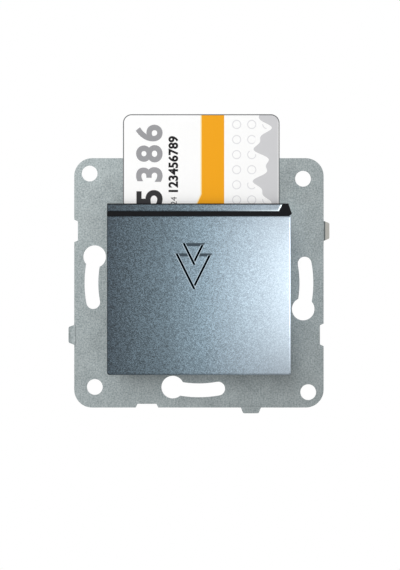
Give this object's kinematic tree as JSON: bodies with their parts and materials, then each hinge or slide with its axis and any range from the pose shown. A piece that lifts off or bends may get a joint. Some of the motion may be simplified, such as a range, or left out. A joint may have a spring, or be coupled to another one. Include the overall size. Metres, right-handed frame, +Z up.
{
  "type": "hotel key card switch",
  "caption": "Flush hotel key card switch: steel mounting plate, silver card pocket with a card in it, and a wall-box housing with a relay and screw terminals.",
  "frame": {"origin": "middle of the mounting plate's four keyholes on the plate's wall face", "axes": "+X to the right and +Z up as seen from the room, +Y into the wall"},
  "size_m": [0.0728, 0.04, 0.0834],
  "materials": {
    "plate_steel": "satin",
    "fastener_steel": "satin",
    "spring_steel": "polished",
    "silver_paint": "satin",
    "black_plastic": "matte",
    "card_plastic": "gloss",
    "white_plastic": "satin",
    "clear_plastic": "gloss",
    "housing_plastic": "matte",
    "board_laminate": "satin",
    "lamp_plastic": "gloss",
    "component_black": "matte",
    "terminal_brass": "satin",
    "zinc_steel": "satin",
    "relay_plastic": "satin",
    "film_yellow": "satin",
    "can_sleeve": "satin",
    "resistor_green": "satin",
    "varistor_blue": "satin"
  },
  "bodies": {
    "root": {"mounting_plate": "plate_steel", "plate_screws": "fastener_steel", "housing_screws": "fastener_steel", "card_leaf_spring": "spring_steel", "plunger_spring": "spring_steel", "lever_pin": "spring_steel", "front_cover": "silver_paint", "slot_lip": "silver_paint", "slot_liner": "black_plastic", "card_tray": "black_plastic", "light_guide": "clear_plastic", "housing_front": "housing_plastic", "housing_rear": "housing_plastic", "circuit_board": "board_laminate", "locator_led": "lamp_plastic", "switch_case": "component_black", "bridge_rectifier": "component_black", "microcontroller": "component_black", "diodes": "component_black", "chip_resistors": "component_black", "terminal_cages": "terminal_brass", "terminal_contacts": "terminal_brass", "switch_terminals": "terminal_brass", "terminal_screws": "zinc_steel", "relay": "relay_plastic", "film_capacitor": "film_yellow", "electrolytic_capacitor": "can_sleeve", "fuse_resistor": "resistor_green", "varistor": "varistor_blue"},
    "card_plunger": {"card_plunger": "white_plastic"},
    "key_card": {"key_card": "card_plastic"},
    "switch_lever": {"switch_lever": "spring_steel"},
    "switch_button": {"switch_button": "white_plastic"}
  },
  "joints": [
    {"name": "plunger_travel", "type": "slide", "parent": "root", "child": "card_plunger", "axis": [0, 0, 1], "range_m": [0, 0.003], "stiffness_N_per_m": 8, "springref_m": 0.003, "deforming": ["plunger_spring"]},
    {"name": "card_travel", "type": "slide", "parent": "card_plunger", "child": "key_card", "axis": [0, 0, 1], "range_m": [0, 0.044]},
    {"name": "lever_swing", "type": "hinge", "parent": "root", "child": "switch_lever", "pos_m": [-0.0084, 0.0053, -0.0066], "axis": [0, -1, 0], "range_deg": [0, 19]},
    {"name": "button_travel", "type": "slide", "parent": "root", "child": "switch_button", "axis": [0, 0, 1], "range_m": [0, 0.0011]}
  ],
  "couplings": [
    {"joint": "lever_swing", "follows": "plunger_travel", "rad_per_m": 110.54},
    {"joint": "button_travel", "follows": "plunger_travel", "ratio": 0.36667}
  ]
}
